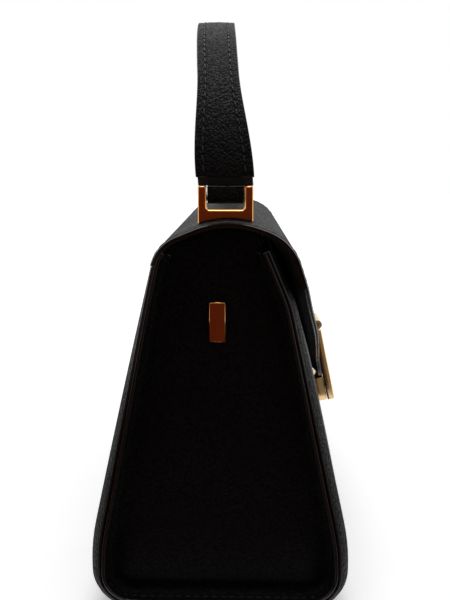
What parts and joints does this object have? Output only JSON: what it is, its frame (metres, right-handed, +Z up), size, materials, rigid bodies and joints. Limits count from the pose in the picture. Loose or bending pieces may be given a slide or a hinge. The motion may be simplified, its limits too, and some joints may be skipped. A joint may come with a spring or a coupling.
{
  "type": "handbag",
  "caption": "Structured leather top-handle bag with recessed end gussets, a hinged lid with a tapering front flap and a hinged metal clasp plate that closes on a block.",
  "frame": {"origin": "middle of the flat base, on the surface that the bag stands on", "axes": "+Z up, +X along the bag's width, -Y towards the front with the flap and the clasp"},
  "size_m": [0.22, 0.1255, 0.2805],
  "materials": {
    "leather": "black pebbled calf leather",
    "lining": "smooth black lining leather",
    "board": "pressed reinforcement board",
    "gold": "polished pale gold plate",
    "steel": "plain",
    "magnet": "nickel plated magnet"
  },
  "bodies": {
    "body": {"wrap_leather": "leather", "front_board": "board", "base_board": "board", "back_board": "board", "wrap_lining": "lining", "gusset_left": "leather", "gusset_right": "leather", "gusset_board_left": "board", "gusset_board_right": "board", "gusset_lining_left": "lining", "gusset_lining_right": "lining", "plaque_left": "gold", "plaque_right": "gold", "plaque_washer_left": "steel", "plaque_washer_right": "steel", "clasp_block": "gold", "clasp_magnet": "magnet", "clasp_block_backing": "steel", "clasp_block_screw_left": "steel", "clasp_block_screw_right": "steel"},
    "lid": {"lid_leather": "leather", "lid_board": "board", "flap_board": "board", "lid_lining": "lining", "bracket_left": "gold", "bracket_right": "gold", "bracket_pin_left": "steel", "bracket_pin_right": "steel", "bracket_backing_left": "steel", "bracket_backing_right": "steel", "bracket_screw_left_front": "steel", "bracket_screw_left_back": "steel", "bracket_screw_right_front": "steel", "bracket_screw_right_back": "steel", "handle_leather": "leather", "handle_core": "board", "handle_lining": "leather", "handle_loop_left": "leather", "handle_loop_right": "leather", "clasp_leaf": "gold", "clasp_backing": "steel", "clasp_hinge_pin": "steel"},
    "clasp": {"clasp_plate": "gold", "clasp_keeper": "steel"}
  },
  "joints": [
    {"name": "lid_hinge", "type": "hinge", "parent": "body", "child": "lid", "pos_m": [0, 0.02533, 0.17242], "axis": [-1, 0, 0], "range_deg": [0, 110]},
    {"name": "clasp_hinge", "type": "hinge", "parent": "lid", "child": "clasp", "pos_m": [0, -0.05384, 0.11572], "axis": [-1, 0, 0], "range_deg": [0, 95]}
  ]
}
